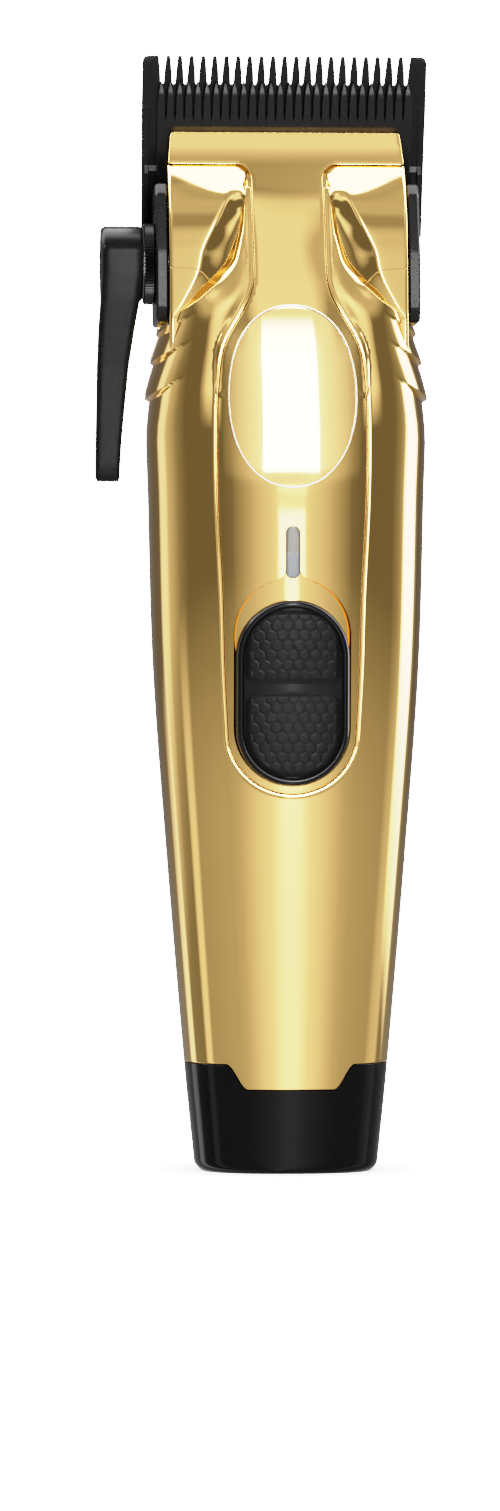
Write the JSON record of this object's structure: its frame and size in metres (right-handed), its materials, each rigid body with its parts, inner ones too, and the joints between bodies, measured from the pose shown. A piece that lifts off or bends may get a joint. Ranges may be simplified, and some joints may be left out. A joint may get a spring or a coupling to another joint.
{
  "type": "hair clipper",
  "caption": "Cordless hair clipper standing on its base, with a tilted wide blade, a side lever that moves the fixed blade, a front slide switch and a tapered polished body.",
  "frame": {"origin": "middle of the flat base, where the body axis meets the surface the clipper stands on", "axes": "+Z from the base to the blade tips, -Y towards the user (switch side), +X to the right seen from the switch side"},
  "size_m": [0.0535, 0.0398, 0.1783],
  "materials": {
    "gold_plate": "mirror-polished gold plating",
    "gold_mirror": "mirror-polished gold plating",
    "slider_gloss": "glossy",
    "thumb_pad": "satin with a raised honeycomb",
    "clear_lens": "clear",
    "cap_gloss": "glossy",
    "steel": "machined",
    "socket_steel": "drawn",
    "contact_plate": "gold flash",
    "side_black": "satin",
    "black_steel": "black oxide",
    "lever_black": "satin black",
    "blade_black": "black carbon-like coating",
    "cutter_dark": "dark ceramic-like coating",
    "white_plastic": "moulded",
    "spring_steel": "blued",
    "frame_plastic": "moulded, glass filled",
    "motor_steel": "zinc plated",
    "copper": "enamelled copper wire",
    "brass": "turned",
    "cell_wrap": "shrink wrap",
    "nickel": "nickel strip",
    "red_lead": "insulation",
    "black_lead": "insulation",
    "board_green": "solder mask",
    "chip_black": "moulded epoxy"
  },
  "bodies": {
    "housing": {"front_shell": "gold_plate", "rear_shell": "gold_plate", "spine_panel": "gold_plate", "nose_cap": "gold_plate", "head_collar": "gold_plate", "medallion": "gold_mirror", "switch_tray": "gold_plate", "status_light": "clear_lens", "end_cap": "cap_gloss", "cap_screws": "steel", "charge_socket": "socket_steel", "charge_contacts": "contact_plate", "left_side_plate": "side_black", "right_side_plate": "side_black", "side_plate_screws": "black_steel", "detent_ring": "side_black", "guide_rod": "steel", "tension_spring": "spring_steel", "head_frame": "frame_plastic", "chassis": "frame_plastic", "chassis_screws": "steel", "shell_screws": "steel", "motor_can": "motor_steel", "motor_end_bell": "frame_plastic", "motor_stator": "copper", "motor_bearings": "steel", "motor_screws": "steel", "lithium_cell": "cell_wrap", "cell_contacts": "nickel", "cell_leads": "red_lead", "motor_leads": "black_lead", "control_board": "board_green", "board_parts": "chip_black", "slide_switch": "steel", "board_screws": "steel"},
    "lever": {"taper_lever": "lever_black", "lever_shaft": "steel", "lever_screw": "black_steel"},
    "blade_set": {"fixed_blade": "blade_black", "blade_screws": "steel", "blade_carrier": "steel"},
    "cutter_set": {"cutter": "cutter_dark", "cutter_yoke": "white_plastic", "yoke_screws": "steel"},
    "rotor": {"motor_rotor": "motor_steel", "eccentric_cam": "brass", "drive_pin": "steel"},
    "switch": {"switch_slider": "slider_gloss", "upper_thumb_pad": "thumb_pad", "lower_thumb_pad": "thumb_pad"}
  },
  "joints": [
    {"name": "lever_hinge", "type": "hinge", "parent": "housing", "child": "lever", "pos_m": [-0.0262, 0, 0.1447], "axis": [-1, 0, 0], "range_deg": [0, 60.02]},
    {"name": "blade_slide", "type": "slide", "parent": "housing", "child": "blade_set", "axis": [0, -0.342, 0.9397], "range_m": [-0.0032, 0]},
    {"name": "cutter_slide", "type": "slide", "parent": "housing", "child": "cutter_set", "axis": [1, 0, 0], "range_m": [-0.0011, 0.0011]},
    {"name": "rotor_spin", "type": "hinge", "parent": "housing", "child": "rotor", "pos_m": [0, 0.001, 0.1], "axis": [0, 0, 1], "continuous": true},
    {"name": "switch_slide", "type": "slide", "parent": "housing", "child": "switch", "axis": [0, -0.0419, 0.9991], "range_m": [0, 0.0028]}
  ],
  "couplings": [
    {"joint": "lever_hinge", "follows": "blade_slide", "rad_per_m": -327.25}
  ]
}
